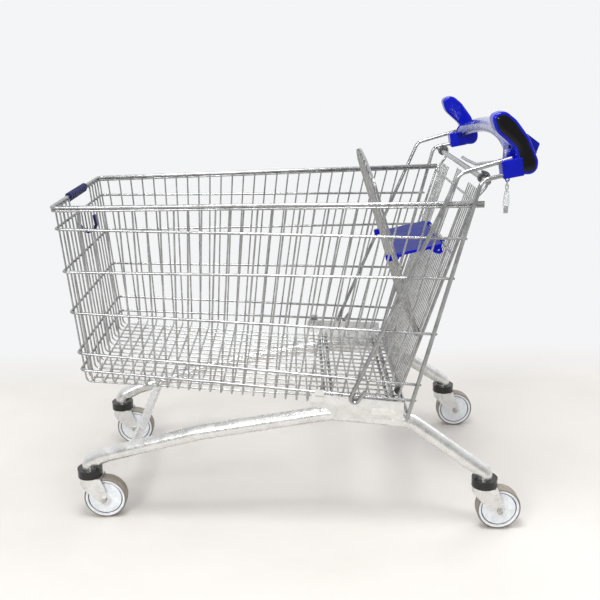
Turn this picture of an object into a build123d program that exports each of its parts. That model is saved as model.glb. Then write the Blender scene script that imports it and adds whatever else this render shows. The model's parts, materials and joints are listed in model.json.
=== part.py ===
from build123d import *
import os
from math import cos, radians, sin, tan

# A wire shopping cart in millimetres. X points to the front of the cart, Y to its left side
# and Z up. The origin lies on the floor under the middle of the cart.

# ---------------------------------------------------------------- driving dimensions
# Basket: a rim with vertical walls below it, wider at the rear than at the front
rim_front_x = 505.0
rim_rear_x = -397.0
rim_front_z = 747.0
rim_rear_z = 754.0
wall_front_y = 218.0
wall_rear_y = 291.0
front_lean = 4.7
floor_front_x = 468.0
floor_front_z = 352.0
floor_rear_x = -249.0
floor_rear_z = 290.0

# Wire and rod radii
wire_r = 2.0
ring_r = 3.0
rim_rod_r = 4.0
rim_wire_r = 2.75
arm_r = 4.5
cross_rod_r = 4.0
gate_wire_r = 1.5
gate_rod_r = 3.0
gate_cross_r = 2.75
seat_rod_r = 2.75

# Gap left between pieces that are welded on the real cart
weld_gap = 0.03

# Wire counts and spacings
side_wire_count = 29
side_wire_first_x = 450.0
side_wire_pitch = 24.05
side_wire_top_first_x = 479.0
side_wire_top_pitch = 29.6
front_wire_count = 16
front_wire_pitch = 28.0
hand_opening_half = 84.0
wire_bend_r = 12.0

# Rings round the basket: height at the front and at the rear
ring_levels = [(701.0, 680.0), (607.0, 595.0), (515.0, 472.0), (421.0, 355.0), (381.0, 318.0)]
ring_corner_r = 13.0
ring_corner_leg = 20.0
ring_tail = 7.0

# Handle arms: two bent rods on each side
arm_offset = 12.5
arm_bend_x = -388.0
arm_bend_z = 801.0
arm_foot_x = -249.0
arm_foot_z = 276.0
front_arm_bend_x = -344.0
front_arm_bend_z = 815.0
front_arm_foot_x = -121.0
front_arm_foot_z = 315.0
arm_bend_r = 22.0

# Chassis
tube_r = 17.5
tube_bore_r = 15.0
strut_r = 11.0
strut_bore_r = 9.0
stem_front = (483.0, 195.0)
stem_rear = (-430.0, 277.0)
tube_bottom_z = 124.5
tube_front_top_z = 139.0
tube_rear_top_z = 136.0
tube_bends = [(440.0, 201.0, 160.0), (220.0, 222.0, 221.0), (-84.0, 231.0, 270.0), (-262.0, 251.0, 256.0)]

# Casters
wheel_r = 50.0
wheel_width = 32.0
caster_trail = 33.0
collar_r = 29.0
collar_bottom_z = 103.0
kingpin_r = 6.0
axle_r = 4.0
running_gap = 0.3

# Rear gate: it hangs from a cross tube and leans forward to its stop
hinge_x = -402.0
hinge_z = 797.0
hinge_tube_r = 6.0
gate_lean = 18.1
gate_length = 522.0
gate_half_top = 246.0
gate_half_bottom = 213.0
gate_wire_pitch = 17.0
gate_wire_half_count = 14
leg_opening_inner = 30.0
leg_opening_outer = 122.0
gate_top_rod = 26.0
seat_rod = 173.0
seat_back_rod = 379.0

# Child seat
seat_back_lean = 16.4
seat_back_length = 366.0
seat_back_arch = 48.0
seat_back_half = 199.0
seat_back_wire_pitch = 28.4
seat_back_wire_half_count = 7
seat_plate_tilt = 12.1
seat_plate_reach = 110.0
seat_plate_half = 134.0
seat_plate_thickness = 7.0
seat_lug_y = 142.0
seat_lug_reach = 137.0
seat_hinge_lug_y = 97.5

# Handle
clamp_front_x = -427.0
handle_end = (-460.0, 266.0, 848.0)
handle_middle = (-478.0, 0.0, 882.0)
handle_tube_r = 10.0
cover_half_height = 20.0
cover_half_depth = 15.0
cover_tilt = 41.3
horn_inner_y = 268.0
horn_outer_y = 304.0


# ---------------------------------------------------------------- shared geometry
def along(start, end, fraction):
    """The value a given fraction of the way from start to end."""
    return start + (end - start) * fraction


def wall_y(x):
    """Half the width between the side walls at x, on the centres of their upright wires."""
    return along(wall_front_y, wall_rear_y, (rim_front_x - x) / (rim_front_x - rim_rear_x))


def rim_z(x):
    """Height of the rim rod's centre at x."""
    return along(rim_front_z, rim_rear_z, (rim_front_x - x) / (rim_front_x - rim_rear_x))


def floor_z(x):
    """Height of the floor's upper wires at x."""
    return along(floor_front_z, floor_rear_z, (floor_front_x - x) / (floor_front_x - floor_rear_x))


def front_x(z):
    """Place of the front panel's wire centres at height z."""
    return rim_front_x - rim_rod_r - wire_r - 0.1 - (rim_front_z - z) * tan(radians(front_lean))


def arm_x(z):
    """Place of the rear handle arm at height z."""
    return along(arm_foot_x, arm_bend_x, (z - arm_foot_z) / (arm_bend_z - arm_foot_z))


def gate_point(across, down, forward=0.0):
    """A point of the gate from its place across, below and in front of the hinge line."""
    lean = radians(gate_lean)
    x = hinge_x + down * sin(lean) + forward * cos(lean)
    z = hinge_z - down * cos(lean) + forward * sin(lean)
    return (x, across, z)


seat_pivot = gate_point(0, seat_back_rod)
plate_pivot = gate_point(0, seat_rod)


def seat_point(across, up, forward=0.0):
    """A point of the seat back from its place across, above and in front of its hinge line."""
    lean = radians(seat_back_lean)
    x = seat_pivot[0] + up * sin(lean) + forward * cos(lean)
    z = seat_pivot[2] + up * cos(lean) - forward * sin(lean)
    return (x, across, z)


def add_rod(start, end, radius, mode=Mode.ADD):
    """A straight round rod in the part that is open."""
    axis = Vector(*end) - Vector(*start)
    with BuildSketch(Plane(origin=start, z_dir=axis)) as profile:
        Circle(radius)
    extrude(profile.sketch, amount=axis.length, mode=mode)


def add_bent_rod(points, bend_radius, radius, bore=0.0):
    """A round rod or tube along straight runs joined by tangent bends."""
    with BuildLine() as route:
        FilletPolyline(*points, radius=bend_radius)
    with BuildSketch(Plane(origin=route.line @ 0, z_dir=route.line % 0)) as profile:
        Circle(radius)
        if bore:
            Circle(bore, mode=Mode.SUBTRACT)
    sweep(profile.sketch, path=route.line)


def bend_ends(before, corner, after, bend_radius):
    """Start, middle and end of the bend that rounds a corner between two straight runs."""
    incoming = (Vector(*corner) - Vector(*before)).normalized()
    outgoing = (Vector(*after) - Vector(*corner)).normalized()
    half_turn = radians(incoming.get_angle(outgoing)) / 2
    reach = bend_radius * tan(half_turn)
    inward = (outgoing - incoming).normalized() * (bend_radius / cos(half_turn) - bend_radius)
    corner = Vector(*corner)
    return corner - incoming * reach, corner + inward, corner + outgoing * reach


def add_bend(start, middle, end, radius):
    """The bent piece of a rod through three points."""
    with BuildLine() as route:
        ThreePointArc(start, middle, end)
    with BuildSketch(Plane(origin=route.line @ 0, z_dir=route.line % 0)) as profile:
        Circle(radius)
    sweep(profile.sketch, path=route.line)


def add_run(start, end, radius):
    """The straight piece of a rod between two bends, a hair short at both ends."""
    step = (Vector(*end) - Vector(*start)).normalized() * weld_gap
    add_rod(tuple(Vector(*start) + step), tuple(Vector(*end) - step), radius)


def add_split_rod(points, bend_radii, radius):
    """A bent rod as separate straight and bent pieces, a hair apart."""
    start = points[0]
    for before, corner, after, bend_radius in zip(points, points[1:], points[2:], bend_radii):
        bend_start, middle, bend_end = bend_ends(before, corner, after, bend_radius)
        add_run(start, tuple(bend_start), radius)
        add_bend(bend_start, middle, bend_end, radius)
        start = tuple(bend_end)
    add_run(start, points[-1], radius)


def save(part, label):
    """Names a finished piece and writes its file."""
    part.label = label
    export_step(part, f"parts/{label}.step")


os.makedirs("parts", exist_ok=True)
sides = [("left", 1), ("right", -1)]


# ---------------------------------------------------------------- chassis
def tube_route(side):
    """Centre line of a chassis tube from its front caster to its rear caster."""
    front = [(*stem_front, tube_bottom_z), (*stem_front, tube_front_top_z)]
    rear = [(*stem_rear, tube_rear_top_z), (*stem_rear, tube_bottom_z)]
    return [(x, side * y, z) for x, y, z in front + tube_bends + rear]


tube_bend_radii = [19.0, 60.0, 90.0, 140.0, 60.0, 19.0]
for name, side in sides:
    with BuildPart() as chassis_tube:
        add_bent_rod(tube_route(side), tube_bend_radii, tube_r, tube_bore_r)
    save(chassis_tube.part, f"chassis_tube_{name}")

strut_x = 375.0
strut_fraction = (tube_bends[0][0] - strut_x) / (tube_bends[0][0] - tube_bends[1][0])
strut_y = along(tube_bends[0][1], tube_bends[1][1], strut_fraction)
strut_z = along(tube_bends[0][2], tube_bends[1][2], strut_fraction)
with BuildPart() as chassis_cross_strut:
    with BuildSketch(Plane.XZ.offset(-strut_y)):
        with Locations((strut_x, strut_z)):
            Circle(strut_r)
            Circle(strut_bore_r, mode=Mode.SUBTRACT)
    extrude(amount=2 * strut_y)
    for _, side in sides:
        run = tube_route(side)[2:4]
        add_rod(run[0], run[1], tube_r + 0.02, Mode.SUBTRACT)
save(chassis_cross_strut.part, "chassis_cross_strut")

# Sheet plates that carry the rear half of the basket on the tubes
plate_front_x = -36.0
plate_rear_x = -243.0
plate_thickness = 2.5
plate_top_drop = 4.0


def tube_centre(x):
    """Centre (y, z) of the left tube's level run at x."""
    start, end = tube_bends[2], tube_bends[3]
    if x > start[0]:
        start, end = tube_bends[1], tube_bends[2]
    fraction = (start[0] - x) / (start[0] - end[0])
    return along(start[1], end[1], fraction), along(start[2], end[2], fraction)


def ring_z(level, x):
    """Height of a ring at x."""
    front_z, rear_z = ring_levels[level]
    rear_x = arm_x(rear_z) - ring_tail
    return along(front_z, rear_z, (front_x(front_z) - x) / (front_x(front_z) - rear_x))


def plate_section(x, side):
    """Outline of a side plate's section at x: upright beside the wires, then slanted to the tube."""
    tube_y, tube_z = tube_centre(x)
    wall = wall_y(x) + wire_r + 0.1
    top_z = ring_z(4, x) - ring_r - plate_top_drop
    bend_z = floor_z(x) + 5
    low_y = tube_y + tube_r - 2
    low_z = tube_z + 3
    inner = [(low_y, low_z), (wall, bend_z), (wall, top_z)]
    outer = [(y + plate_thickness, z) for y, z in reversed(inner)]
    return [(side * y, z) for y, z in inner + outer]


def flange_section(x, side):
    """Section at x of the plate's folded lower edge, which lies on the outside of the tube."""
    tube_y, tube_z = tube_centre(x)
    low_y = tube_y + tube_r + 0.1
    corners = [(low_y, tube_z - 6), (low_y, tube_z + 5), (low_y + 3, tube_z + 5), (low_y + 3, tube_z - 6)]
    return [(side * y, z) for y, z in corners]


def tab_section(x, side):
    """Section at x of the tab that holds the lowest ring from outside."""
    y = wall_y(x) + wire_r + 0.1
    ring_outside = wall_y(x) + wire_r + 2 * ring_r + 0.2
    low_z = ring_z(4, x) - ring_r - plate_top_drop
    top_z = ring_z(4, x) + ring_r + 4
    corners = [
        (y, low_z - 6),
        (y, low_z),
        (ring_outside, low_z + 3),
        (ring_outside, top_z),
        (ring_outside + plate_thickness, top_z),
        (ring_outside + plate_thickness, low_z + 1),
        (y + plate_thickness, low_z - 6),
    ]
    return [(side * y, z) for y, z in corners]


plate_side_view = [
    (plate_front_x, 312.0),
    (plate_front_x + 1, 303.0),
    (plate_front_x - 12, 297.0),
    (plate_front_x - 34, 294.0),
    (plate_front_x - 48, 282.0),
    (plate_front_x - 60, 200.0),
    (plate_rear_x, 200.0),
    (plate_rear_x, 380.0),
    (plate_front_x - 20, 380.0),
]
with BuildPart() as side_plates:
    for _, side in sides:
        for x in (plate_front_x, plate_rear_x):
            with BuildSketch(Plane.YZ.offset(x)):
                Polygon(*plate_section(x, side), align=None)
        loft(ruled=True)
    with BuildSketch(Plane.XZ.offset(-400)):
        Polygon(*plate_side_view, align=None)
    extrude(amount=800, mode=Mode.INTERSECT)
    for _, side in sides:
        for section, places in (
            (flange_section, (plate_front_x - 46, plate_rear_x + 20)),
            (tab_section, (plate_front_x - 12, plate_front_x - 32)),
        ):
            for x in places:
                with BuildSketch(Plane.YZ.offset(x)):
                    Polygon(*section(x, side), align=None)
            loft(ruled=True)
        for start, end in zip(tube_route(side)[3:5], tube_route(side)[4:6]):
            add_rod(start, end, tube_r + 0.05, Mode.SUBTRACT)
save(side_plates.part, "side_plates")


# ---------------------------------------------------------------- basket
def rim_route(offset, drop):
    """Route of a rim rod from its left rear end round the front to its right rear end."""
    front = rim_front_x
    rear = rim_rear_x
    left = [
        (rear, wall_y(rear) + offset, rim_rear_z - drop),
        (front, wall_y(front) + offset, rim_front_z - drop),
    ]
    return left + [(x, -y, z) for x, y, z in reversed(left)]


rim_offset = 4.0
rim_bend_radii = [13.0] * 2
rim_wire_drop = rim_rod_r + rim_wire_r
with BuildPart() as basket_rim:
    add_split_rod(rim_route(rim_offset, 0), rim_bend_radii, rim_rod_r)
    add_split_rod(rim_route(rim_offset + 0.75, rim_wire_drop + 0.1), rim_bend_radii, rim_wire_r)
save(basket_rim.part, "basket_rim")


def side_wire_ends(index):
    """Bottom and top x of an upright side wire, fanned between front and rear slopes."""
    bottom = side_wire_first_x - index * side_wire_pitch
    top = side_wire_top_first_x - index * side_wire_top_pitch
    return bottom, top


def side_wire_points(index, side):
    """Floor's middle, floor corner and top of an upright side wire."""
    bottom, top = side_wire_ends(index)
    z = floor_z(bottom)
    return (bottom, 0, z), (bottom, side * wall_y(bottom), z), (top, side * wall_y(top), rim_z(top) - rim_rod_r)


for name, side in sides:
    with BuildPart() as basket_side_wires:
        for index in range(side_wire_count):
            points = side_wire_points(index, side)
            _, _, leg = bend_ends(*points, wire_bend_r)
            add_run(tuple(leg), points[2], wire_r)
    save(basket_side_wires.part, f"basket_side_wires_{name}")

with BuildPart() as basket_floor_cross_wires:
    for index in range(side_wire_count):
        start, _, _ = bend_ends(*side_wire_points(index, 1), wire_bend_r)
        add_run((start.X, -start.Y, start.Z), tuple(start), wire_r)
save(basket_floor_cross_wires.part, "basket_floor_cross_wires")

front_wire_ys = [
    (index - (front_wire_count - 1) / 2) * front_wire_pitch for index in range(front_wire_count)
]
front_foot_x = front_x(floor_front_z - 2 * wire_r)
front_foot_z = floor_z(front_foot_x) - 2 * wire_r - weld_gap


def front_wire_points(y):
    """Rear end, front corner and top of a front wire, which runs on along the floor."""
    rear_x = floor_rear_x - 6.0
    rear_z = floor_z(rear_x) - 2 * wire_r - weld_gap
    return (rear_x, y, rear_z), (front_foot_x, y, front_foot_z), (front_x(rim_front_z), y, rim_front_z)


with BuildPart() as basket_front_wires:
    for y in front_wire_ys:
        top_z = rim_front_z - 1.0
        if abs(y) < hand_opening_half:
            top_z = ring_levels[0][0] + 5.0
        _, _, leg = bend_ends(*front_wire_points(y), wire_bend_r)
        add_run(tuple(leg), (front_x(top_z) - 0.2, y, top_z), wire_r)
save(basket_front_wires.part, "basket_front_wires")

with BuildPart() as basket_floor_long_wires:
    for y in front_wire_ys:
        points = front_wire_points(y)
        start, _, _ = bend_ends(*points, wire_bend_r)
        add_run(points[0], tuple(start), wire_r)
save(basket_floor_long_wires.part, "basket_floor_long_wires")

with BuildPart() as basket_corner_bends:
    for index in range(side_wire_count):
        for _, side in sides:
            add_bend(*bend_ends(*side_wire_points(index, side), wire_bend_r), wire_r)
    for y in front_wire_ys:
        add_bend(*bend_ends(*front_wire_points(y), wire_bend_r), wire_r)
save(basket_corner_bends.part, "basket_corner_bends")


def ring_corner(level):
    """Left front corner of a ring."""
    front_z = ring_levels[level][0]
    offset = wire_r + ring_r
    corner_x = front_x(front_z) + offset
    return Vector(corner_x, wall_y(corner_x) + offset, front_z)


def ring_rear(level):
    """Left rear end of a ring, just past the rear handle arm."""
    rear_z = ring_levels[level][1]
    rear_x = arm_x(rear_z) - ring_tail
    return Vector(rear_x, wall_y(rear_x) + wire_r + ring_r, rear_z)


def ring_split(level):
    """Where a ring's bent front meets its straight side."""
    corner = ring_corner(level)
    return corner + (ring_rear(level) - corner).normalized() * ring_corner_leg


for name, side in sides:
    with BuildPart() as basket_ring_sides:
        for level in range(len(ring_levels)):
            ends = [ring_split(level), ring_rear(level)]
            start, end = [(point.X, side * point.Y, point.Z) for point in ends]
            add_rod(start, end, ring_r)
            with Locations(end):
                Sphere(ring_r)
    save(basket_ring_sides.part, f"basket_ring_sides_{name}")

with BuildPart() as basket_ring_fronts:
    for level in range(len(ring_levels)):
        left = [tuple(ring_split(level)), tuple(ring_corner(level))]
        right = [(x, -y, z) for x, y, z in reversed(left)]
        add_split_rod(left + right, [ring_corner_r] * 2, ring_r)
save(basket_ring_fronts.part, "basket_ring_fronts")

# Rods under the floor that carry it on the side plates, and the gate's stop rod
cross_rod_gap = 18.0
cross_rod_x = [-71.0, -71.0 - cross_rod_gap, -217.0, -217.0 - cross_rod_gap + 3.0]
with BuildPart() as floor_support_rods:
    for x in cross_rod_x:
        tube_y, _ = tube_centre(x)
        half = tube_y + 9.0
        z = floor_z(x) - 3 * wire_r - cross_rod_r
        add_rod((x, -half, z), (x, half, z), cross_rod_r)
save(floor_support_rods.part, "floor_support_rods")

stop_rod_z = floor_rear_z + wire_r
stop_half = wall_y(floor_rear_x) + arm_offset - arm_r - 0.2
with BuildPart() as gate_stop_rod:
    add_rod((floor_rear_x, -stop_half, stop_rod_z), (floor_rear_x, stop_half, stop_rod_z), cross_rod_r)
save(gate_stop_rod.part, "gate_stop_rod")


# ---------------------------------------------------------------- handle arms and hinge tube
def arm_point(x, z, side):
    """A point of a handle arm outside the side wall."""
    return (x, side * (wall_y(x) + arm_offset), z)


arm_end_y = wall_y(front_arm_bend_x) + arm_offset
handle_arm_tools = {}
for name, side in sides:
    with BuildPart() as handle_arms:
        route = [
            arm_point(front_arm_foot_x - 37, front_arm_foot_z + 26, side),
            arm_point(front_arm_foot_x - 19, front_arm_foot_z, side),
            arm_point(front_arm_foot_x, front_arm_foot_z, side),
            arm_point(front_arm_bend_x, front_arm_bend_z, side),
            (clamp_front_x - 20, side * arm_end_y, 843.5),
        ]
        add_bent_rod(route, [7.0, 9.0, arm_bend_r], arm_r)
        route = [
            arm_point(arm_foot_x, arm_foot_z, side),
            arm_point(arm_bend_x, arm_bend_z, side),
            (clamp_front_x - 20, side * arm_end_y, 813.0),
        ]
        add_bent_rod(route, arm_bend_r, arm_r)
    handle_arm_tools[name] = handle_arms.part
    save(handle_arms.part, f"handle_arms_{name}")

hinge_tube_half = wall_y(arm_bend_x) + arm_offset - arm_r - 0.4
with BuildPart() as gate_hinge_tube:
    add_rod((hinge_x, -hinge_tube_half, hinge_z), (hinge_x, hinge_tube_half, hinge_z), hinge_tube_r)
save(gate_hinge_tube.part, "gate_hinge_tube")

with BuildPart() as lock_brace_wire:
    route = [(-412.0, -26.0, 807.0), (-412.0, 30.0, 807.0), (-414.0, 118.0, 809.0), (-430.0, 266.5, 834.0)]
    add_bent_rod(route, 40.0, 3.5)
save(lock_brace_wire.part, "lock_brace_wire")


# ---------------------------------------------------------------- front grip and hook
grip_half = 78.0
grip_wall = 3.0
rib_height = 1.2
rib_count = 9


def grip_section(wall):
    """Section of the sleeve round the rim's rod and wire, with a given wall over the rod."""
    rod = (rim_front_x, rim_front_z)
    wire = (rim_front_x, rim_front_z - rim_wire_drop - 0.1)
    with BuildSketch() as outline:
        with Locations(rod):
            Circle(rim_rod_r + wall)
        with Locations(wire):
            Circle(rim_wire_r + wall - 1)
        make_hull()
    add(outline.sketch)
    with Locations(rod):
        Circle(rim_rod_r, mode=Mode.SUBTRACT)
    with Locations(wire):
        Circle(rim_wire_r, mode=Mode.SUBTRACT)


with BuildPart() as front_grip_sleeve:
    with BuildSketch(Plane.XZ.offset(-grip_half)):
        grip_section(grip_wall)
    extrude(amount=2 * grip_half)
    for index in range(rib_count):
        rib_y = -grip_half + 9.0 + index * (2 * grip_half - 18.0) / (rib_count - 1)
        with BuildSketch(Plane.XZ.offset(-rib_y - 4.0)):
            grip_section(grip_wall + rib_height)
        extrude(amount=8.0)
save(front_grip_sleeve.part, "front_grip_sleeve")

hook_x = front_x(ring_levels[0][0]) + wire_r + 2 * ring_r + 0.1
hook_top_z = ring_levels[0][0] + ring_r + 0.1
with BuildPart() as front_bag_hook:
    with BuildSketch(Plane.XZ.offset(-7.0)):
        with BuildLine():
            Polyline(
                (hook_x - 6.2, hook_top_z + 3.3),
                (hook_x + 5, hook_top_z + 3.3),
                (hook_x + 5, 662.0),
                (hook_x - 3, 651.0),
                (hook_x - 19, 646.0),
                (hook_x - 35, 652.0),
                (hook_x - 42, 666.0),
                (hook_x - 38, 690.0),
                (hook_x - 32, 690.0),
                (hook_x - 35.5, 667.0),
                (hook_x - 31, 658.5),
                (hook_x - 19, 653.5),
                (hook_x - 6, 658.0),
                (hook_x, 666.0),
                (hook_x, hook_top_z),
                (hook_x - 6.2, hook_top_z),
                close=True,
            )
        make_face()
    extrude(amount=14.0)
    fillet(front_bag_hook.edges().filter_by(Axis.Y), 1.2)
save(front_bag_hook.part, "front_bag_hook")


# ---------------------------------------------------------------- handle
def handle_arc():
    """The bowed line that the handle bar follows."""
    x, y, z = handle_end
    return ThreePointArc((x, -y, z), handle_middle, (x, y, z))


def handle_section():
    """Plane across the bar at its right end, with its local x pointing to the bar's front."""
    arc = handle_arc()
    across = Vector(1, 0, 0).rotate(Axis.Y, -cover_tilt)
    return Plane(origin=arc @ 0, x_dir=across, z_dir=arc % 0)


with BuildPart() as handle_bar:
    with BuildLine() as route:
        add(handle_arc())
    with BuildSketch(handle_section()):
        Circle(handle_tube_r)
        Circle(handle_tube_r - 2.0, mode=Mode.SUBTRACT)
    sweep(path=route.line)
save(handle_bar.part, "handle_bar")

with BuildPart() as handle_cover:
    with BuildLine() as route:
        add(handle_arc())
    with BuildSketch(handle_section()):
        Ellipse(cover_half_depth, cover_half_height)
        Circle(handle_tube_r + 0.05, mode=Mode.SUBTRACT)
    sweep(path=route.line)
    for _, side in sides:
        with BuildSketch(Plane.XZ.offset(-side * (horn_inner_y - 0.5))):
            with Locations((-460, 860)):
                Rectangle(160, 160)
        extrude(amount=-side * 60.0, mode=Mode.SUBTRACT)
save(handle_cover.part, "handle_cover")


horn_corners = [
    (-461, 811, 15),
    (-452, 862, 28),
    (-412, 897, 36),
    (-401, 928, 12),
    (-428, 938, 20),
    (-452, 919, 50),
    (-479, 884, 50),
    (-500, 838, 24),
    (-498, 811, 18),
]


def horn_outline(inset):
    """Side view of a horn, drawn inside its edge by the inset."""
    with BuildSketch(mode=Mode.PRIVATE) as outline:
        Polygon(*[(x, z) for x, z, _ in horn_corners], align=None)
        for x, z, radius in horn_corners:
            fillet(outline.vertices().sort_by_distance((x, z))[0], radius)
        if inset:
            offset(amount=-inset, mode=Mode.REPLACE)
    return outline.sketch


clamp_plane_tilt = -10.0
lug_x = -443.0
lug_y = 286.0
lug_hole_z = 799.0
lug_hole_r = 2.6
with BuildPart() as horn_inserts:
    for _, side in sides:
        with BuildSketch(Plane.XZ.offset(-side * (horn_outer_y - 3))):
            add(horn_outline(6.05))
        extrude(amount=-side * 4.0)
save(horn_inserts.part, "horn_inserts")

sleeve_cap_thickness = 8.0
for name, side in sides:
    with BuildPart() as sleeve_cap:
        with BuildSketch(Plane.XZ.offset(-side * (horn_inner_y + 1.2))):
            with Locations((handle_end[0], handle_end[2])):
                Ellipse(cover_half_depth + 1.5, cover_half_height + 1.5, rotation=cover_tilt)
        extrude(amount=-side * sleeve_cap_thickness)
        fillet(sleeve_cap.faces().sort_by(Axis.Y)[-1 if side > 0 else 0].edges(), 3)
    with BuildPart() as clamp_block:
        with BuildSketch(Plane.XZ.offset(-side * (horn_inner_y + 4))):
            with Locations((-448, 824.5)):
                Rectangle(42, 37, rotation=clamp_plane_tilt)
        extrude(amount=-side * (horn_outer_y - horn_inner_y + 1))
        fillet(clamp_block.edges(), 2.5)
    with BuildPart() as handle_horn:
        with BuildSketch(Plane.XZ.offset(-side * horn_inner_y)):
            add(horn_outline(0))
        extrude(amount=-side * (horn_outer_y - horn_inner_y))
        fillet(handle_horn.faces().filter_by(Axis.Y).edges(), 5)
        add(clamp_block.part)
        add(sleeve_cap.part)
        if side > 0:
            with BuildSketch(Plane.XZ.offset(-lug_y - 0.8)):
                with Locations((lug_x, lug_hole_z)):
                    Circle(lug_hole_r + 2)
                with Locations((lug_x, lug_hole_z + 6)):
                    Rectangle(2 * lug_hole_r + 4, 12)
                with Locations((lug_x, lug_hole_z)):
                    Circle(lug_hole_r, mode=Mode.SUBTRACT)
            extrude(amount=1.6)
        add(horn_inserts.part, mode=Mode.SUBTRACT)
        add(handle_arm_tools[name], mode=Mode.SUBTRACT)
    save(handle_horn.part, f"handle_horn_{name}")


# ---------------------------------------------------------------- casters
stems = {
    "front_left": (stem_front[0], stem_front[1]),
    "front_right": (stem_front[0], -stem_front[1]),
    "rear_left": (stem_rear[0], stem_rear[1]),
    "rear_right": (stem_rear[0], -stem_rear[1]),
}
fork_top_z = 104.0
fork_sheet = 2.5
fork_inner_y = 21.5
fork_head_r = 27.0
fork_end_r = 11.5
collar_z = (fork_top_z + 0.4, tube_bottom_z - 0.1)

with BuildPart() as caster_collars:
    for x, y in stems.values():
        with BuildSketch(Plane.XY.offset(collar_z[0])):
            with Locations((x, y)):
                Circle(collar_r)
                Circle(collar_r - 3.0, mode=Mode.SUBTRACT)
        extrude(amount=collar_z[1] - collar_z[0])
        with BuildSketch(Plane.XY.offset(collar_z[1] - 2.5)):
            with Locations((x, y)):
                Circle(collar_r)
                Circle(kingpin_r + 0.1, mode=Mode.SUBTRACT)
        extrude(amount=2.5)
save(caster_collars.part, "caster_collars")

with BuildPart() as caster_bearings:
    for x, y in stems.values():
        with BuildSketch(Plane.XY.offset(collar_z[0] + 0.6)):
            with Locations((x, y)):
                Circle(18)
                Circle(kingpin_r + 0.05, mode=Mode.SUBTRACT)
        extrude(amount=14.0)
save(caster_bearings.part, "caster_bearings")

with BuildPart() as caster_kingpins:
    for x, y in stems.values():
        for low, high, radius in ((98.0, 101.0, 9.0), (101.0, 125.0, kingpin_r), (125.0, 130.0, 13.3)):
            with BuildSketch(Plane.XY.offset(low)):
                with Locations((x, y)):
                    Circle(radius)
            extrude(amount=high - low)
save(caster_kingpins.part, "caster_kingpins")


def fork_plan(x, y, half):
    """Plan of the fork's bent sheet, or of the space inside it, with its round front."""
    bow_x = x + fork_head_r - fork_inner_y - fork_sheet
    with Locations((bow_x, y)):
        Circle(half)
    with Locations((bow_x - 40, y)):
        Rectangle(80, 2 * half)


def fork_side_view(x):
    """Side view of the fork, from its wide head down to the round end at the axle."""
    with BuildSketch(mode=Mode.PRIVATE) as outline:
        with Locations((x - caster_trail, wheel_r)):
            Circle(fork_end_r)
        with Locations((x, fork_top_z - 7)):
            Rectangle(2 * fork_head_r, 14)
        make_hull()
    return outline.sketch


for name, (x, y) in stems.items():
    axle_x = x - caster_trail
    with BuildPart() as caster_fork:
        with BuildSketch(Plane.XY.offset(wheel_r - 20)):
            fork_plan(x, y, fork_inner_y + fork_sheet)
        extrude(amount=fork_top_z - wheel_r + 20)
        with BuildSketch(Plane.XZ.offset(-y - 40)):
            add(fork_side_view(x))
        extrude(amount=80, mode=Mode.INTERSECT)
        with BuildSketch(Plane.XY.offset(fork_top_z - fork_sheet)):
            with Locations((x, y)):
                Circle(fork_head_r)
        extrude(amount=fork_sheet)
        with BuildSketch(Plane.XZ.offset(-y - fork_inner_y - fork_sheet - 1.2)):
            with Locations((axle_x + 15, wheel_r + 2)):
                Circle(3.2)
        extrude(amount=2 * (fork_inner_y + fork_sheet + 1.2))
        with BuildSketch(Plane.XY.offset(wheel_r - 21)) as inside:
            fork_plan(x, y, fork_inner_y)
        extrude(amount=fork_top_z - fork_sheet - wheel_r + 21, mode=Mode.SUBTRACT)
        with BuildSketch(Plane.XY.offset(fork_top_z - 10)):
            with Locations((x, y)):
                Circle(kingpin_r + running_gap)
        extrude(amount=20, mode=Mode.SUBTRACT)
        with BuildSketch(Plane.XZ.offset(-y - 40)):
            with Locations((axle_x, wheel_r)):
                Circle(axle_r + 0.05)
        extrude(amount=80, mode=Mode.SUBTRACT)
    save(caster_fork.part, f"caster_fork_{name}")

    with BuildPart() as axle_bolt:
        bolt_half = fork_inner_y + fork_sheet
        with BuildSketch(Plane.XZ.offset(-y - bolt_half)):
            with Locations((axle_x, wheel_r)):
                Circle(axle_r)
        extrude(amount=2 * bolt_half)
        for head_y in (y + bolt_half + 4.5, y - bolt_half):
            with BuildSketch(Plane.XZ.offset(-head_y)):
                with Locations((axle_x, wheel_r)):
                    RegularPolygon(7.0, 6)
            extrude(amount=4.5)
    save(axle_bolt.part, f"axle_bolt_{name}")

    wheel_plane = Plane(origin=(axle_x, y, wheel_r), x_dir=(1, 0, 0), z_dir=(0, 0, 1))
    wheel_axis = Axis((axle_x, y, wheel_r), (0, 1, 0))
    half = wheel_width / 2
    with BuildPart() as wheel_hub:
        with BuildSketch(wheel_plane):
            for flip in (1, -1):
                Polygon(
                    (axle_r + running_gap, 0),
                    (axle_r + running_gap, flip * (fork_inner_y - 0.5)),
                    (12, flip * (fork_inner_y - 0.5)),
                    (13, flip * (half - 2)),
                    (38.0, flip * (half - 2.6)),
                    (38.8, flip * (half - 4.5)),
                    (40.4, flip * (half - 4.5)),
                    (41.0, flip * (half - 1.4)),
                    (46.0, flip * (half - 1.0)),
                    (46.0, flip * (half - 3)),
                    (43.0, flip * (half - 3)),
                    (43.0, 0),
                    align=None,
                )
        revolve(axis=wheel_axis)
    save(wheel_hub.part, f"wheel_hub_{name}")

    with BuildPart() as tyre:
        with BuildSketch(wheel_plane):
            for flip in (1, -1):
                Polygon(
                    (43.05, 0),
                    (43.05, flip * (half - 3.1)),
                    (46.1, flip * (half - 3.1)),
                    (46.1, flip * (half - 0.4)),
                    (47.6, flip * half),
                    (49.2, flip * (half - 1.8)),
                    (wheel_r, flip * (half - 6)),
                    (wheel_r, 0),
                    align=None,
                )
        revolve(axis=wheel_axis)
    save(tyre.part, f"tyre_{name}")


# ---------------------------------------------------------------- rear gate
def gate_half(down):
    """Half the gate's width at a distance below its hinge line."""
    return along(gate_half_top, gate_half_bottom, down / gate_length)


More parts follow.
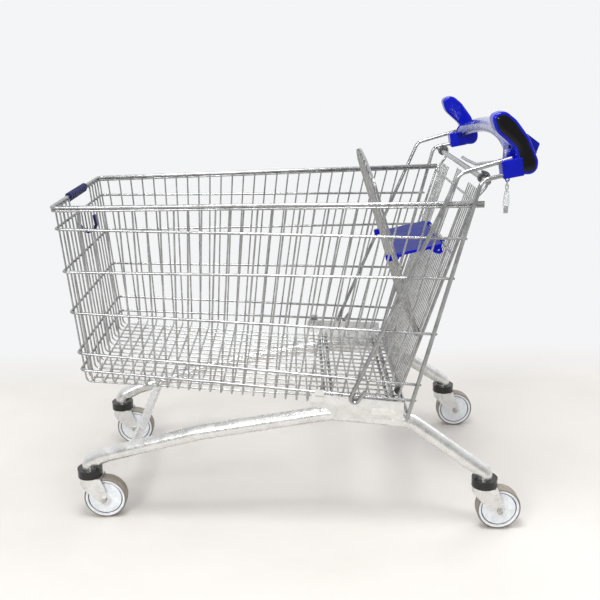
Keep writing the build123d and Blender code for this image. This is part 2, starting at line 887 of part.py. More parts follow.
bush_r = 10.0
bush_width = 15.0
with BuildPart() as gate_frame:
    for _, side in sides:
        route = [
            gate_point(side * gate_half(gate_length), gate_length),
            gate_point(side * gate_half(50), 50),
            gate_point(side * gate_half_top, 16, -bush_r - gate_rod_r - 0.2),
            gate_point(side * gate_half_top, -bush_r - gate_rod_r - 0.2, -bush_r - gate_rod_r - 0.2),
            gate_point(side * gate_half_top, -bush_r - gate_rod_r - 0.2, 8),
        ]
        add_bent_rod(route, [20.0, 20.0, 12.0], gate_rod_r)
    for down in (gate_top_rod + 25, seat_rod, seat_back_rod, gate_length - gate_rod_r):
        half = gate_half(down) - gate_rod_r
        add_run(gate_point(-half, down), gate_point(half, down), gate_cross_r)
save(gate_frame.part, "gate_frame")

with BuildPart() as gate_wires:
    behind = -gate_rod_r - gate_wire_r
    for index in range(gate_wire_half_count):
        for _, side in sides:
            top_y = side * (index + 0.5) * gate_wire_pitch
            bottom_y = top_y * gate_half_bottom / gate_half_top
            start = gate_top_rod
            if leg_opening_inner < abs(top_y) < leg_opening_outer:
                start = seat_rod - 5
            if abs(top_y) < leg_opening_inner:
                start = 14.0
            shift = start / gate_length
            start_y = along(top_y, bottom_y, shift)
            add_rod(gate_point(start_y, start, behind), gate_point(bottom_y, gate_length + 2, behind), gate_wire_r)
save(gate_wires.part, "gate_wires")

with BuildPart() as gate_hinge_bushes:
    for _, side in sides:
        middle = side * gate_half_top
        with BuildSketch(Plane.XZ.offset(-middle - bush_width / 2)):
            with Locations((hinge_x, hinge_z)):
                Circle(bush_r)
                Circle(hinge_tube_r + running_gap, mode=Mode.SUBTRACT)
        extrude(amount=bush_width)
save(gate_hinge_bushes.part, "gate_hinge_bushes")

buffer_y = 191.4
buffer_r = 8.2
buffer_width = 10.0
with BuildPart() as gate_buffers:
    for _, side in sides:
        centre_x, _, centre_z = gate_point(0, gate_length - gate_rod_r)
        with BuildSketch(Plane.XZ.offset(-side * buffer_y - buffer_width / 2)):
            with Locations((centre_x, centre_z)):
                Circle(buffer_r)
                Circle(gate_cross_r, mode=Mode.SUBTRACT)
        extrude(amount=buffer_width)
save(gate_buffers.part, "gate_buffers")


# ---------------------------------------------------------------- child seat
def arch_height(across):
    """How far the seat back reaches above its hinge line at a place across it."""
    return seat_back_length + seat_back_arch * (1 - (across / seat_back_half) ** 2)


seat_low_rod = 12.0
seat_step_rod = 156.0
seat_high_rod = 344.0
arch_places = [-1.0, -0.5, 0.0, 0.5, 1.0]
with BuildPart() as seat_back_frame:
    arch = [(place * seat_back_half, arch_height(place * seat_back_half)) for place in arch_places]
    outline = [(-seat_back_half, seat_low_rod)] + arch + [(seat_back_half, seat_low_rod)]
    route = [seat_point(across, up) for across, up in outline]
    add_split_rod(route, [22.0, 300.0, 300.0, 300.0, 22.0], gate_rod_r)
    for up in (seat_low_rod, seat_step_rod, seat_high_rod):
        half = seat_back_half - gate_rod_r
        add_run(seat_point(-half, up), seat_point(half, up), seat_rod_r)
save(seat_back_frame.part, "seat_back_frame")

with BuildPart() as seat_back_wires:
    in_front = gate_rod_r + wire_r
    for index in range(seat_back_wire_half_count):
        for _, side in sides:
            across = side * (index + 0.5) * seat_back_wire_pitch
            top = arch_height(across) - 1.0
            add_rod(seat_point(across, seat_low_rod - 4, in_front), seat_point(across, top, in_front), wire_r)
save(seat_back_wires.part, "seat_back_wires")

seat_bush_y = 168.9
with BuildPart() as seat_back_bushes:
    pivot = (seat_pivot[0], seat_pivot[2])
    low_x, _, low_z = seat_point(0, seat_low_rod)
    for _, side in sides:
        with BuildSketch(Plane.XZ.offset(-side * seat_bush_y - 5)):
            with Locations(pivot):
                Circle(7.0)
            with Locations((low_x, low_z)):
                Circle(6.0)
            make_hull()
            with Locations(pivot):
                Circle(gate_cross_r + running_gap, mode=Mode.SUBTRACT)
            with Locations((low_x, low_z)):
                Circle(seat_rod_r, mode=Mode.SUBTRACT)
        extrude(amount=10.0)
save(seat_back_bushes.part, "seat_back_bushes")

plate_tilt = radians(seat_plate_tilt)
plate_plane = Plane(
    origin=plate_pivot,
    x_dir=(cos(plate_tilt), 0, -sin(plate_tilt)),
    z_dir=(sin(plate_tilt), 0, cos(plate_tilt)),
)


def plate_side_plane(y):
    """Plane at y across the seat plate, with local x along it and local y upwards."""
    return Plane(origin=plate_plane.from_local_coords((0, y, 0)), x_dir=plate_plane.x_dir, z_dir=(0, -1, 0))


with BuildPart() as seat_plate:
    with BuildSketch(plate_plane.offset(-seat_plate_thickness / 2)):
        with Locations((along(6.0, seat_plate_reach, 0.5), 0)):
            RectangleRounded(seat_plate_reach - 6.0, 2 * seat_plate_half, 9)
    extrude(amount=seat_plate_thickness)
    fillet(seat_plate.faces().sort_by(Axis.Z)[-1].edges(), 1.5)
    for _, side in sides:
        with BuildSketch(plate_side_plane(side * seat_hinge_lug_y + 5)):
            Circle(6.2)
            with Locations((7, 0)):
                Rectangle(14, seat_plate_thickness)
            Circle(gate_cross_r + running_gap, mode=Mode.SUBTRACT)
        extrude(amount=10.0)
        with BuildSketch(plate_side_plane(side * seat_lug_y + 5)):
            with Locations((seat_lug_reach - 15, 0)):
                RectangleRounded(30, 14, 3)
        extrude(amount=10.0)
        with BuildSketch(plate_side_plane(side * (seat_lug_y - 8) + 10)):
            with Locations((seat_plate_reach - 7, -0.5)):
                Rectangle(12, 6)
        extrude(amount=20.0)
        with BuildSketch(plate_side_plane(side * (seat_plate_half - 5) + 4)):
            Polygon((8, 0), (40, 0), (24, -16), (14, -20), (8, -16), align=None)
            with Locations((16, -11)):
                Circle(3, mode=Mode.SUBTRACT)
        extrude(amount=8.0)
save(seat_plate.part, "seat_plate")


# ---------------------------------------------------------------- coin lock and key chain
lock_y = (224.0, 264.0)
with BuildPart() as coin_lock_housing:
    with BuildSketch(Plane.XZ.offset(-lock_y[1])):
        with BuildLine():
            Polyline(
                (-447, 866),
                (-466, 886),
                (-484, 888),
                (-511, 868),
                (-505, 850),
                (-490, 831),
                (-462, 820),
                (-446, 830),
                close=True,
            )
        make_face()
    extrude(amount=lock_y[1] - lock_y[0])
    fillet(coin_lock_housing.edges().filter_by(Axis.Y), 3)
    with BuildSketch(Plane.XZ.offset(-lock_y[1] + 12)):
        with Locations((-497, 853)):
            Rectangle(40, 8, rotation=37)
    extrude(amount=16.0, mode=Mode.SUBTRACT)
    with BuildLine() as route:
        add(handle_arc())
    with BuildSketch(handle_section()) as clearance:
        Ellipse(cover_half_depth + 0.05, cover_half_height + 0.05)
    sweep(clearance.sketch, path=route.line, mode=Mode.SUBTRACT)
save(coin_lock_housing.part, "coin_lock_housing")

with BuildPart() as coin_slide:
    with BuildSketch(Plane.XZ.offset(-lock_y[1] + 12.4)):
        with Locations((-497, 853)):
            Rectangle(26, 7, rotation=37)
    extrude(amount=15.2)
save(coin_slide.part, "coin_slide")

link_wire_r = 1.1
link_half_width = 2.6
link_straight = 6.0


def link_route(top, across):
    """Closed centre line of a chain link that hangs from its top, in the plane of a direction."""
    side_step = Vector(*across) * link_half_width
    middle = Vector(*top) - Vector(0, 0, link_half_width)
    low = middle - Vector(0, 0, link_straight)
    with BuildLine() as route:
        ThreePointArc(middle - side_step, top, middle + side_step)
        Line(middle + side_step, low + side_step)
        ThreePointArc(low + side_step, low - Vector(0, 0, link_half_width), low - side_step)
        Line(low - side_step, middle - side_step)
    return route.line


link_drop = 2 * link_half_width + link_straight - 2 * link_wire_r - 0.7
upper_link_top = (lug_x, lug_y, lug_hole_z - lug_hole_r + link_wire_r + 0.5)
lower_link_top = (lug_x, lug_y, upper_link_top[2] - link_drop)
key_top_z = lower_link_top[2] - 2 * link_half_width - link_straight
for label, top, across in (
    ("chain_link_upper", upper_link_top, (0, 1, 0)),
    ("chain_link_lower", lower_link_top, (1, 0, 0)),
):
    with BuildPart() as chain_link:
        ring = link_route(top, across)
        with BuildSketch(Plane(origin=ring @ 0.4, z_dir=ring % 0.4)) as profile:
            Circle(link_wire_r)
        sweep(profile.sketch, path=ring)
    save(chain_link.part, label)

key_hole_r = 2.0
key_hole_z = key_top_z - 0.4
key_body_z = key_hole_z - key_hole_r - 0.6
key_body_height = 30.0
with BuildPart() as key_holder:
    with BuildSketch(Plane.YZ.offset(lug_x - 0.8)):
        with Locations((lug_y, key_hole_z)):
            Circle(key_hole_r + 1.2)
        with Locations((lug_y, key_hole_z - 2.0)):
            Rectangle(2 * key_hole_r + 2.4, 4)
        with Locations((lug_y, key_hole_z)):
            Circle(key_hole_r, mode=Mode.SUBTRACT)
    extrude(amount=1.6)
    with BuildSketch(Plane.XY.offset(key_body_z)):
        with Locations((lug_x, lug_y)):
            RectangleRounded(9, 7, 2)
    with BuildSketch(Plane.XY.offset(key_body_z - key_body_height)):
        with Locations((lug_x, lug_y)):
            RectangleRounded(13, 9, 2)
    loft()
save(key_holder.part, "key_holder")

with BuildPart() as key_blade:
    with BuildSketch(Plane.XY.offset(key_body_z - key_body_height)):
        with Locations((lug_x, lug_y)):
            Rectangle(9, 3.2)
    extrude(amount=-15)
save(key_blade.part, "key_blade")
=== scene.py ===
"""Looks of the wire shopping cart: materials, small fittings, floor, light and camera."""
import json
import math

import bpy
from mathutils import Matrix, Vector, geometry


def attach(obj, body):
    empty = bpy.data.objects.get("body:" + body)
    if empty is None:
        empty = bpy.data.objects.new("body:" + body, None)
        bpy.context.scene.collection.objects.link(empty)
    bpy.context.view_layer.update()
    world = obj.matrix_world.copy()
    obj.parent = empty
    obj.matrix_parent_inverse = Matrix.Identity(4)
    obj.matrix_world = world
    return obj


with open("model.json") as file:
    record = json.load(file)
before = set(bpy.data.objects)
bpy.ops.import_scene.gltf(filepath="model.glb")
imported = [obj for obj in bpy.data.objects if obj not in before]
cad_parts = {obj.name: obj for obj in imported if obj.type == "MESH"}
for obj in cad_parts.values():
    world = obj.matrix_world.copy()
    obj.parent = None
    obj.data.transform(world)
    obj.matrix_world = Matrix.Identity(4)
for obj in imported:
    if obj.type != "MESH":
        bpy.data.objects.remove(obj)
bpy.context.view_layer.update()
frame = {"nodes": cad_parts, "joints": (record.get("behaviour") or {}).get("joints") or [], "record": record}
nodes = frame["nodes"]

# Dark ring between each wheel's disc and its rim, in metres
seal_ring_radius = 0.0396
seal_wire_radius = 0.0009
seal_from_middle = 0.0118

# Crowned skin on the horns' inserts
dome_rise = 0.0024
dome_shoulder = 0.012
dome_grid = 0.0017
dome_gap = 0.0001

# Blank sticker on the left side plate
label_x = (-0.226, -0.172)
label_z = (0.280, 0.300)
label_thickness = 0.0004

# The white room: its tone, and a darker band on the side away from the wall
room_white = 0.92
room_colour = (0.985, 0.99, 1.0)
band_white = 0.42
floor_size = 60.0

# The camera of the reference view
camera_place = (-0.0171, 1.9718, 1.0550)
camera_yaw = -0.0012
camera_pitch = 0.2894
camera_roll = 0.0179
camera_lens = 50.08


# ---------------------------------------------------------------- material graphs
class Graph:
    """One material under construction, with short names for the nodes it needs."""

    def __init__(self, name):
        self.material = bpy.data.materials.new(name)
        self.material.use_nodes = True
        self.tree = self.material.node_tree
        self.tree.nodes.clear()
        self.shader = self.tree.nodes.new("ShaderNodeBsdfPrincipled")
        output = self.tree.nodes.new("ShaderNodeOutputMaterial")
        self.tree.links.new(self.shader.outputs["BSDF"], output.inputs["Surface"])
        self.place = self.tree.nodes.new("ShaderNodeTexCoord").outputs["Object"]
        self.geometry = self.tree.nodes.new("ShaderNodeNewGeometry")

    def put(self, socket, value):
        """Links a socket, or sets its constant."""
        if isinstance(value, bpy.types.NodeSocket):
            self.tree.links.new(value, socket)
        elif isinstance(value, tuple) and len(value) == 3 and socket.type == "RGBA":
            socket.default_value = (*value, 1.0)
        else:
            socket.default_value = value

    def set(self, **values):
        """Sets the surface shader's inputs."""
        for name, value in values.items():
            self.put(self.shader.inputs[name.replace("_", " ")], value)

    def stretched(self, scale):
        """Coordinates scaled by a different amount along each axis."""
        node = self.tree.nodes.new("ShaderNodeMapping")
        self.put(node.inputs["Vector"], self.place)
        node.inputs["Scale"].default_value = scale
        return node.outputs["Vector"]

    def noise(self, scale, detail=3.0, roughness=0.55, place=None):
        """Cloudy values from 0 to 1."""
        node = self.tree.nodes.new("ShaderNodeTexNoise")
        self.put(node.inputs["Vector"], place or self.place)
        node.inputs["Scale"].default_value = scale
        node.inputs["Detail"].default_value = detail
        node.inputs["Roughness"].default_value = roughness
        return node.outputs["Fac"]

    def crystals(self, scale):
        """A value from 0 to 1 for each cell of a crystal pattern."""
        node = self.tree.nodes.new("ShaderNodeTexVoronoi")
        self.put(node.inputs["Vector"], self.place)
        node.inputs["Scale"].default_value = scale
        return self.axis("X", node.outputs["Color"])

    def between(self, value, low, high, to_low=0.0, to_high=1.0):
        """Maps a range of a value to another one, and holds it at both ends."""
        node = self.tree.nodes.new("ShaderNodeMapRange")
        self.put(node.inputs["Value"], value)
        node.inputs["From Min"].default_value = low
        node.inputs["From Max"].default_value = high
        node.inputs["To Min"].default_value = to_low
        node.inputs["To Max"].default_value = to_high
        return node.outputs["Result"]

    def mix(self, amount, first, second):
        """Blends two colours."""
        node = self.tree.nodes.new("ShaderNodeMix")
        node.data_type = "RGBA"
        self.put(node.inputs["Factor"], amount)
        self.put(node.inputs[6], first)
        self.put(node.inputs[7], second)
        return node.outputs[2]

    def math(self, operation, first, second=0.0):
        """One step of arithmetic."""
        node = self.tree.nodes.new("ShaderNodeMath")
        node.operation = operation
        self.put(node.inputs[0], first)
        self.put(node.inputs[1], second)
        return node.outputs[0]

    def axis(self, name, place=None):
        """One coordinate of a vector, which is the place on the object if none is given."""
        node = self.tree.nodes.new("ShaderNodeSeparateXYZ")
        self.put(node.inputs[0], place or self.place)
        return node.outputs[name]

    def bump(self, height, distance, strength, normal=None):
        """Surface relief, on top of another one if it is given."""
        node = self.tree.nodes.new("ShaderNodeBump")
        self.put(node.inputs["Height"], height)
        node.inputs["Distance"].default_value = distance
        node.inputs["Strength"].default_value = strength
        if normal is not None:
            self.put(node.inputs["Normal"], normal)
        return node.outputs["Normal"]

    def edges(self):
        """One along the edges of a shape, where a rounded normal differs from the true one."""
        bevel = self.tree.nodes.new("ShaderNodeBevel")
        bevel.samples = 4
        bevel.inputs["Radius"].default_value = 0.0012
        compare = self.tree.nodes.new("ShaderNodeVectorMath")
        compare.operation = "DOT_PRODUCT"
        self.put(compare.inputs[0], bevel.outputs["Normal"])
        self.put(compare.inputs[1], self.geometry.outputs["Normal"])
        return self.between(compare.outputs["Value"], 0.985, 0.80)


# ---------------------------------------------------------------- metals
def zinc_material(name, dark, light, spangle, gloss, dull, relief=0.0001):
    """Zinc coat: cloudy grey, faint crystals, small pits and a shine from gloss to dull."""
    graph = Graph(name)
    clouds = graph.noise(38, 5, 0.62)
    fine = graph.noise(420, 3, 0.6)
    pits = graph.between(graph.noise(1500, 2), 0.68, 0.74)
    colour = graph.mix(graph.between(clouds, 0.32, 0.68), dark, light)
    crystal_shade = graph.crystals(spangle)
    colour = graph.mix(graph.math("MULTIPLY", crystal_shade, 0.22), colour, light)
    colour = graph.mix(graph.math("MULTIPLY", fine, 0.25), colour, dark)
    colour = graph.mix(graph.math("MULTIPLY", pits, 0.5), colour, (0.16, 0.16, 0.16))
    cloudy = graph.math("ADD", clouds, graph.math("MULTIPLY", crystal_shade, 0.3))
    rough = graph.between(cloudy, 0.35, 0.95, gloss, dull)
    height = graph.math("ADD", graph.math("MULTIPLY", fine, 0.6), graph.math("MULTIPLY", clouds, 0.8))
    graph.set(Base_Color=colour, Metallic=0.88, Roughness=rough, Normal=graph.bump(height, relief, 0.5))
    return graph.material


def steel_material(name, dark, light, rough):
    """Plain bright steel with fine scratches and darker hollows."""
    graph = Graph(name)
    scratches = graph.noise(900, 4, 0.7, graph.stretched((1, 6, 1)))
    clouds = graph.noise(160, 4)
    colour = graph.mix(graph.between(clouds, 0.35, 0.7), dark, light)
    colour = graph.mix(graph.math("MULTIPLY", graph.edges(), 0.5), colour, (0.85, 0.85, 0.84))
    shine = graph.between(graph.math("ADD", scratches, clouds), 0.7, 1.3, rough - 0.1, rough + 0.14)
    graph.set(Base_Color=colour, Metallic=1.0, Roughness=shine,
              Normal=graph.bump(scratches, 0.0001, 0.4))
    return graph.material


# ---------------------------------------------------------------- plastics and rubbers
def plastic_material(name, main, deep, worn, gloss, coat,
                     grain=0.00006, grain_scale=2600.0, specular=0.16):
    """Moulded plastic: slight colour drift, a fine skin, dulling scuffs, paler worn edges."""
    graph = Graph(name)
    drift = graph.noise(24, 4, 0.6)
    scuffs = graph.between(graph.noise(210, 5, 0.75, graph.stretched((1.0, 0.35, 2.2))), 0.60, 0.72)
    dust = graph.between(graph.noise(700, 4, 0.7), 0.60, 0.78)
    colour = graph.mix(graph.between(drift, 0.3, 0.7), deep, main)
    colour = graph.mix(graph.math("MULTIPLY", graph.edges(), 0.45), colour, worn)
    colour = graph.mix(graph.math("MULTIPLY", dust, 0.10), colour, worn)
    skin_gloss = graph.between(drift, 0.3, 0.7, gloss, gloss + 0.07)
    rough = graph.math("ADD", skin_gloss, graph.math("MULTIPLY", scuffs, 0.16))
    skin = graph.noise(grain_scale, 2)
    wave = graph.noise(45, 2)
    normal = graph.bump(skin, grain, 0.5, graph.bump(wave, 0.0006, 0.25))
    graph.set(Base_Color=colour, Roughness=rough, Coat_Weight=coat, Normal=normal)
    graph.shader.inputs["Coat Roughness"].default_value = 0.08
    graph.shader.inputs["Specular IOR Level"].default_value = specular
    return graph.material


def rubber_material(name, dark, light, rough):
    """Rubber: dull, dusty in patches, with a fine grain."""
    graph = Graph(name)
    dust = graph.noise(130, 5, 0.7)
    fine = graph.noise(1600, 3)
    colour = graph.mix(graph.between(dust, 0.38, 0.72), dark, light)
    colour = graph.mix(graph.math("MULTIPLY", fine, 0.2), colour, light)
    shine = graph.between(dust, 0.35, 0.7, rough - 0.12, rough + 0.14)
    graph.set(Base_Color=colour, Roughness=shine, Normal=graph.bump(fine, 0.00012, 0.6))
    return graph.material


def tyre_material(name):
    """Grey-brown tyre: scuffed, dusty tread that is darker at the side walls."""
    graph = Graph(name)
    scuffs = graph.noise(95, 6, 0.7)
    fine = graph.noise(1300, 3)
    sideways = graph.math("ABSOLUTE", graph.axis("Y", graph.geometry.outputs["Normal"]))
    side_wall = graph.between(sideways, 0.45, 0.9)
    colour = graph.mix(graph.between(scuffs, 0.35, 0.68), (0.215, 0.190, 0.155), (0.36, 0.325, 0.275))
    colour = graph.mix(graph.math("MULTIPLY", side_wall, 0.75), colour, (0.10, 0.094, 0.086))
    colour = graph.mix(graph.math("MULTIPLY", fine, 0.3), colour, (0.15, 0.135, 0.115))
    height = graph.math("ADD", fine, scuffs)
    graph.set(Base_Color=colour, Roughness=graph.between(scuffs, 0.3, 0.7, 0.55, 0.82),
              Normal=graph.bump(height, 0.0002, 0.6))
    return graph.material


def hub_material(name):
    """Cool white wheel disc with grime in its hollows and grey smears."""
    graph = Graph(name)
    smears = graph.noise(80, 5, 0.7)
    fine = graph.noise(900, 3)
    colour = graph.mix(graph.between(smears, 0.35, 0.7), (0.66, 0.685, 0.72), (0.84, 0.86, 0.88))
    grime = graph.math("MULTIPLY", graph.between(fine, 0.6, 0.75), 0.35)
    colour = graph.mix(grime, colour, (0.30, 0.29, 0.27))
    graph.set(Base_Color=colour, Roughness=graph.between(smears, 0.3, 0.7, 0.30, 0.48),
              Normal=graph.bump(fine, 0.0001, 0.5))
    return graph.material


def clear_material(name):
    """Milky clear plastic of the key holder."""
    graph = Graph(name)
    haze = graph.noise(260, 4)
    colour = graph.mix(haze, (0.72, 0.76, 0.78), (0.92, 0.94, 0.95))
    graph.set(Base_Color=colour, Roughness=graph.between(haze, 0.3, 0.7, 0.12, 0.3),
              Normal=graph.bump(haze, 0.0003, 0.4))
    graph.shader.inputs["Transmission Weight"].default_value = 0.62
    graph.shader.inputs["IOR"].default_value = 1.49
    return graph.material


def handle_print_material(name):
    """Handle sleeve: lavender in the middle, blue specks, blue ends, stripes by the left horn, painted shade
    under the far end.
    """
    graph = Graph(name)
    across = graph.axis("Y")
    distance = graph.math("ABSOLUTE", across)
    drift = graph.noise(30, 3)
    blue = graph.mix(drift, (0.003, 0.010, 0.20), (0.008, 0.022, 0.30))
    ground = graph.mix(drift, (0.17, 0.175, 0.29), (0.26, 0.265, 0.39))
    specks = graph.noise(190, 3, 0.7, graph.stretched((1.0, 0.4, 1.0)))
    nearness = graph.between(distance, 0.05, 0.19, -0.05, 0.17)
    print_mask = graph.between(graph.math("ADD", specks, nearness), 0.54, 0.57)
    colour = graph.mix(print_mask, ground, blue)
    ends = graph.between(distance, 0.226, 0.229)
    colour = graph.mix(ends, colour, blue)
    stripes = graph.between(graph.math("SINE", graph.math("MULTIPLY", across, 1050.0)), -0.2, 0.2)
    stripes_begin = graph.between(across, 0.231, 0.232)
    stripes_end = graph.between(across, 0.258, 0.257)
    striped_end = graph.math("MULTIPLY", stripes_begin, stripes_end)
    pale = graph.mix(graph.noise(300, 3), (0.30, 0.32, 0.48), (0.46, 0.48, 0.62))
    colour = graph.mix(striped_end, colour, graph.mix(stripes, blue, pale))
    # Painted shade: the downward-facing skin of the far end is made near black
    under = graph.between(graph.axis("Z", graph.geometry.outputs["Normal"]), -0.45, -0.75)
    far_end = graph.between(across, -0.19, -0.205)
    colour = graph.mix(graph.math("MULTIPLY", under, far_end), colour, (0.010, 0.012, 0.025))
    scuffs = graph.between(graph.noise(240, 5, 0.75), 0.58, 0.7)
    rough = graph.math("ADD", 0.16, graph.math("MULTIPLY", scuffs, 0.14))
    graph.set(Base_Color=colour, Roughness=rough, Coat_Weight=0.25,
              Normal=graph.bump(graph.noise(60, 2), 0.0006, 0.3))
    graph.shader.inputs["Coat Roughness"].default_value = 0.06
    graph.shader.inputs["Specular IOR Level"].default_value = 0.3
    return graph.material


def seat_material(name):
    """Matte royal blue seat plate: a paler, greyer top painted for the sheen it catches, with scratches, and
    saturated sides and lugs.
    """
    graph = Graph(name)
    # Painted sheen: faces that point up get a greyer blue that stands in for the white reflection on the top
    up = graph.between(graph.axis("Z", graph.geometry.outputs["Normal"]), 0.80, 0.93)
    blotches = graph.noise(55, 6, 0.68, graph.stretched((1.0, 0.5, 1.0)))
    scratches = graph.between(graph.noise(480, 5, 0.8, graph.stretched((0.3, 2.0, 1.0))), 0.60, 0.70)
    side_blue = graph.mix(graph.noise(40, 3), (0.001, 0.003, 0.34), (0.004, 0.006, 0.46))
    # The top's painted sheen colour in blotches, with real scratches added below
    dull = graph.mix(graph.between(blotches, 0.35, 0.7), (0.008, 0.013, 0.115), (0.020, 0.030, 0.200))
    dull = graph.mix(graph.math("MULTIPLY", scratches, 0.25), dull, (0.08, 0.10, 0.32))
    colour = graph.mix(up, side_blue, dull)
    colour = graph.mix(graph.math("MULTIPLY", graph.edges(), 0.5), colour, (0.02, 0.04, 0.62))
    graph.set(Base_Color=colour, Roughness=graph.between(blotches, 0.3, 0.7, 0.34, 0.52),
              Normal=graph.bump(graph.noise(1500, 3), 0.00012, 0.6))
    graph.shader.inputs["Specular IOR Level"].default_value = 0.12
    return graph.material


def label_material(name):
    """Blank white sticker with slightly yellowed, dirty patches."""
    graph = Graph(name)
    stains = graph.noise(140, 5, 0.7)
    colour = graph.mix(graph.between(stains, 0.4, 0.75), (0.82, 0.82, 0.80), (0.60, 0.58, 0.53))
    graph.set(Base_Color=colour, Roughness=graph.between(stains, 0.3, 0.7, 0.4, 0.6),
              Normal=graph.bump(stains, 0.0001, 0.4))
    return graph.material


def make_materials():
    """One material for each slot of the record."""
    return {
        "zinc_wire": zinc_material(
            "zinc_wire", dark=(0.28, 0.28, 0.275), light=(0.54, 0.545, 0.545),
            spangle=520, gloss=0.16, dull=0.32),
        "zinc_rod": zinc_material(
            "zinc_rod", dark=(0.24, 0.24, 0.24), light=(0.46, 0.465, 0.47),
            spangle=420, gloss=0.15, dull=0.30),
        "zinc_tube": zinc_material(
            "zinc_tube", dark=(0.62, 0.62, 0.605), light=(0.80, 0.80, 0.785),
            spangle=150, gloss=0.20, dull=0.36, relief=0.00012),
        "zinc_sheet": zinc_material(
            "zinc_sheet", dark=(0.62, 0.62, 0.61), light=(0.82, 0.82, 0.81),
            spangle=170, gloss=0.24, dull=0.40, relief=0.00015),
        "bolt_steel": steel_material(
            "bolt_steel", dark=(0.34, 0.34, 0.33), light=(0.60, 0.60, 0.58), rough=0.34),
        "chain_steel": steel_material(
            "chain_steel", dark=(0.45, 0.45, 0.45), light=(0.72, 0.72, 0.72), rough=0.26),
        "collar_black": plastic_material(
            "collar_black", main=(0.012, 0.012, 0.012), deep=(0.006, 0.006, 0.006),
            worn=(0.05, 0.05, 0.05), gloss=0.20, coat=0.3, specular=0.3),
        "bush_black": rubber_material(
            "bush_black", dark=(0.025, 0.025, 0.027), light=(0.085, 0.085, 0.085), rough=0.5),
        "buffer_rubber": rubber_material(
            "buffer_rubber", dark=(0.018, 0.018, 0.018), light=(0.060, 0.058, 0.055), rough=0.7),
        "lock_housing_blue": plastic_material(
            "lock_housing_blue", main=(0.002, 0.010, 0.30), deep=(0.001, 0.006, 0.22),
            worn=(0.04, 0.07, 0.48), gloss=0.24, coat=0.12),
        "lock_slide_blue": plastic_material(
            "lock_slide_blue", main=(0.002, 0.007, 0.22), deep=(0.001, 0.004, 0.15),
            worn=(0.04, 0.06, 0.38), gloss=0.28, coat=0.1),
        "hook_navy": plastic_material(
            "hook_navy", main=(0.008, 0.010, 0.070), deep=(0.004, 0.005, 0.040),
            worn=(0.05, 0.06, 0.16), gloss=0.28, coat=0.1),
        "grip_navy": plastic_material(
            "grip_navy", main=(0.012, 0.013, 0.080), deep=(0.006, 0.007, 0.050),
            worn=(0.06, 0.07, 0.19), gloss=0.40, coat=0.0, grain=0.00012, grain_scale=1500.0),
        "handle_print": handle_print_material("handle_print"),
        "horn_blue": plastic_material(
            "horn_blue", main=(0.001, 0.007, 0.40), deep=(0.001, 0.004, 0.28),
            worn=(0.04, 0.08, 0.62), gloss=0.18, coat=0.2),
        "insert_black": plastic_material(
            "insert_black", main=(0.003, 0.003, 0.0035), deep=(0.002, 0.002, 0.002),
            worn=(0.01, 0.01, 0.01), gloss=0.10, coat=0.35, specular=0.12),
        "key_clear": clear_material("key_clear"),
        "seat_blue": seat_material("seat_blue"),
        "tyre_grey": tyre_material("tyre_grey"),
        "hub_grey": hub_material("hub_grey"),
    }


def paint_nodes(materials):
    """Gives each CAD node the material of its slot."""
    for entry in frame["record"]["subparts"]:
        node = nodes[entry["node"]]
        node.data.materials.clear()
        node.data.materials.append(materials[entry["material_slot"]])


# ---------------------------------------------------------------- small fittings
def mesh_piece(name, points, faces, body, material):
    """A mesh that rides on a body and takes its finish from a slot."""
    mesh = bpy.data.meshes.new(name)
    mesh.from_pydata(points, [], faces)
    mesh.validate()
    for polygon in mesh.polygons:
        polygon.use_smooth = True
    piece = bpy.data.objects.new(name, mesh)
    bpy.context.collection.objects.link(piece)
    mesh.materials.append(material)
    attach(piece, body)
    return piece


def lathe(profile, centre):
    """Points and faces of a closed profile (radius, along) turned round the sideways axis."""
    steps = 64
    points = []
    faces = []
    count = len(profile)
    for step in range(steps):
        angle = 2 * math.pi * step / steps
        for radius, along in profile:
            local = Vector((radius * math.cos(angle), along, -radius * math.sin(angle)))
            points.append(tuple(local + Vector(centre)))
    for step in range(steps):
        following = (step + 1) % steps
        for index in range(count):
            after = (index + 1) % count
            faces.append((step * count + index, following * count + index,
                          following * count + after, step * count + after))
    return points, faces


def round_profile(radius, along, size):
    """A small circle to turn into a ring."""
    steps = 10
    profile = []
    for step in range(steps):
        angle = 2 * math.pi * step / steps
        profile.append((radius + size * math.cos(angle), along + size * math.sin(angle)))
    return profile


def add_wheel_seals(materials):
    """The dark ring between the disc and the rim on both sides of each wheel."""
    for joint in frame["joints"]:
        if not joint["name"].startswith("roll_"):
            continue
        wheel = joint["child"]
        corner = wheel.removeprefix("wheel_")
        for side, flip in (("in", -1), ("out", 1)):
            profile = round_profile(seal_ring_radius, flip * seal_from_middle, seal_wire_radius)
            points, faces = lathe(profile, joint["pos_m"])
            mesh_piece(f"wheel_seal_{corner}_{side}", points, faces, wheel,
                       materials["bush_black"])


def outline_loop(node, side):
    """The ordered outline (x, z) of a node's flat outer face on one side, and the face's y."""
    mesh = nodes[node].data
    uses = {}
    y = 0.0
    for polygon in mesh.polygons:
        if polygon.normal.y * side < 0.95 or polygon.center.y * side < 0:
            continue
        y = polygon.center.y
        places = [mesh.vertices[index].co for index in polygon.vertices]
        keys = [tuple(round(value, 6) for value in place) for place in places]
        for start, end in zip(keys, keys[1:] + keys[:1]):
            edge = frozenset((start, end))
            uses[edge] = uses.get(edge, 0) + 1
    follow = {}
    for edge, count in uses.items():
        if count == 1:
            start, end = tuple(edge)
            follow.setdefault(start, []).append(end)
            follow.setdefault(end, []).append(start)
    first = min(follow)
    loop = [first]
    previous = None
    current = first
    while True:
        options = [point for point in follow[current] if point != previous]
        previous = current
        current = options[0]
        if current == first:
            break
        loop.append(current)
    return [(x, z) for x, _, z in loop], y


def edge_distance(place, outline):
    """How far a flat place is from an outline."""
    best = math.inf
    for index, start in enumerate(outline):
        end = outline[(index + 1) % len(outline)]
        near, fraction = geometry.intersect_point_line(place, start, end)
        if fraction <= 0:
            near = start
        if fraction >= 1:
            near = end
        best = min(best, (place - Vector(near[:2])).length)
    return best


